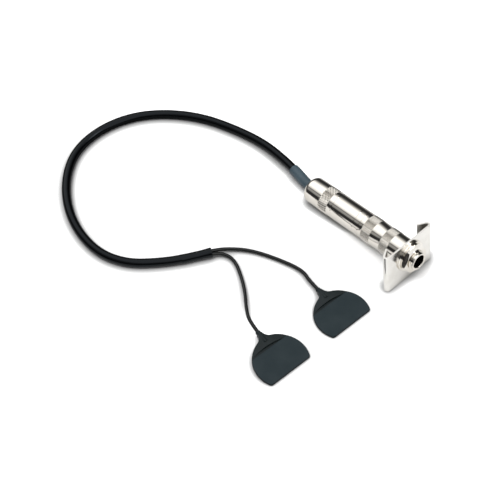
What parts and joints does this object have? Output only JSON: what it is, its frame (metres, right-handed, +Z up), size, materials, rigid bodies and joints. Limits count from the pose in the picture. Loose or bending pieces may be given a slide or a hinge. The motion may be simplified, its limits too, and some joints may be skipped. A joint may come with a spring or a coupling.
{
  "type": "piezo pickup",
  "caption": "Piezo pickup: flat half-round contact sensors on thin leads that join in a black cable, ending in a knurled barrel output jack held in a folded bracket by a hex nut.",
  "frame": {"origin": "centre of the footprint of the jack and the sensors, without the free cords, on the surface that the part lies on", "axes": "+X runs in plan from the cable end of the jack to its mouth, +Y from the sensors to the jack, +Z up; the jack's axis rises 7 degrees towards the mouth"},
  "size_m": [0.1671, 0.1119, 0.0224],
  "materials": {
    "polished_nickel": "polished nickel plate",
    "satin_nickel": "satin nickel plate",
    "nickel_hardware": "bright nickel plate",
    "phenolic": "brown laminate",
    "spring_brass": "bright spring temper",
    "retainer_steel": "bright",
    "liner_paper": "waxed",
    "white_insulation": "glossy",
    "black_insulation": "glossy",
    "jacket_plastic": "glossy black",
    "boot_plastic": "matt blue grey",
    "lead_plastic": "satin dark grey",
    "sensor_plastic": "satin slate",
    "face_plastic": "satin slate",
    "element_brass": "bright",
    "element_ceramic": "fired",
    "element_silver": "silvered"
  },
  "bodies": {
    "root": {"front_barrel": "polished_nickel", "collar_ring": "polished_nickel", "middle_barrel": "polished_nickel", "rear_shell": "polished_nickel", "insulator_front": "phenolic", "insulator_rear": "phenolic", "tip_spring": "spring_brass", "ground_strap": "spring_brass", "stack_rivets": "spring_brass", "stack_retainer": "retainer_steel", "insulating_liner": "liner_paper", "signal_wire": "white_insulation", "shield_wire": "black_insulation", "bracket": "satin_nickel", "flat_washer": "nickel_hardware", "lock_washer": "nickel_hardware", "hex_nut": "nickel_hardware", "heat_shrink_boot": "boot_plastic", "cable_jacket": "jacket_plastic", "lead_1": "lead_plastic", "lead_2": "lead_plastic", "sensor_1_body": "sensor_plastic", "sensor_1_face_plate": "face_plastic", "sensor_1_brass_disc": "element_brass", "sensor_1_ceramic_disc": "element_ceramic", "sensor_1_silver_electrode": "element_silver", "sensor_2_body": "sensor_plastic", "sensor_2_face_plate": "face_plastic", "sensor_2_brass_disc": "element_brass", "sensor_2_ceramic_disc": "element_ceramic", "sensor_2_silver_electrode": "element_silver"}
  },
  "joints": []
}
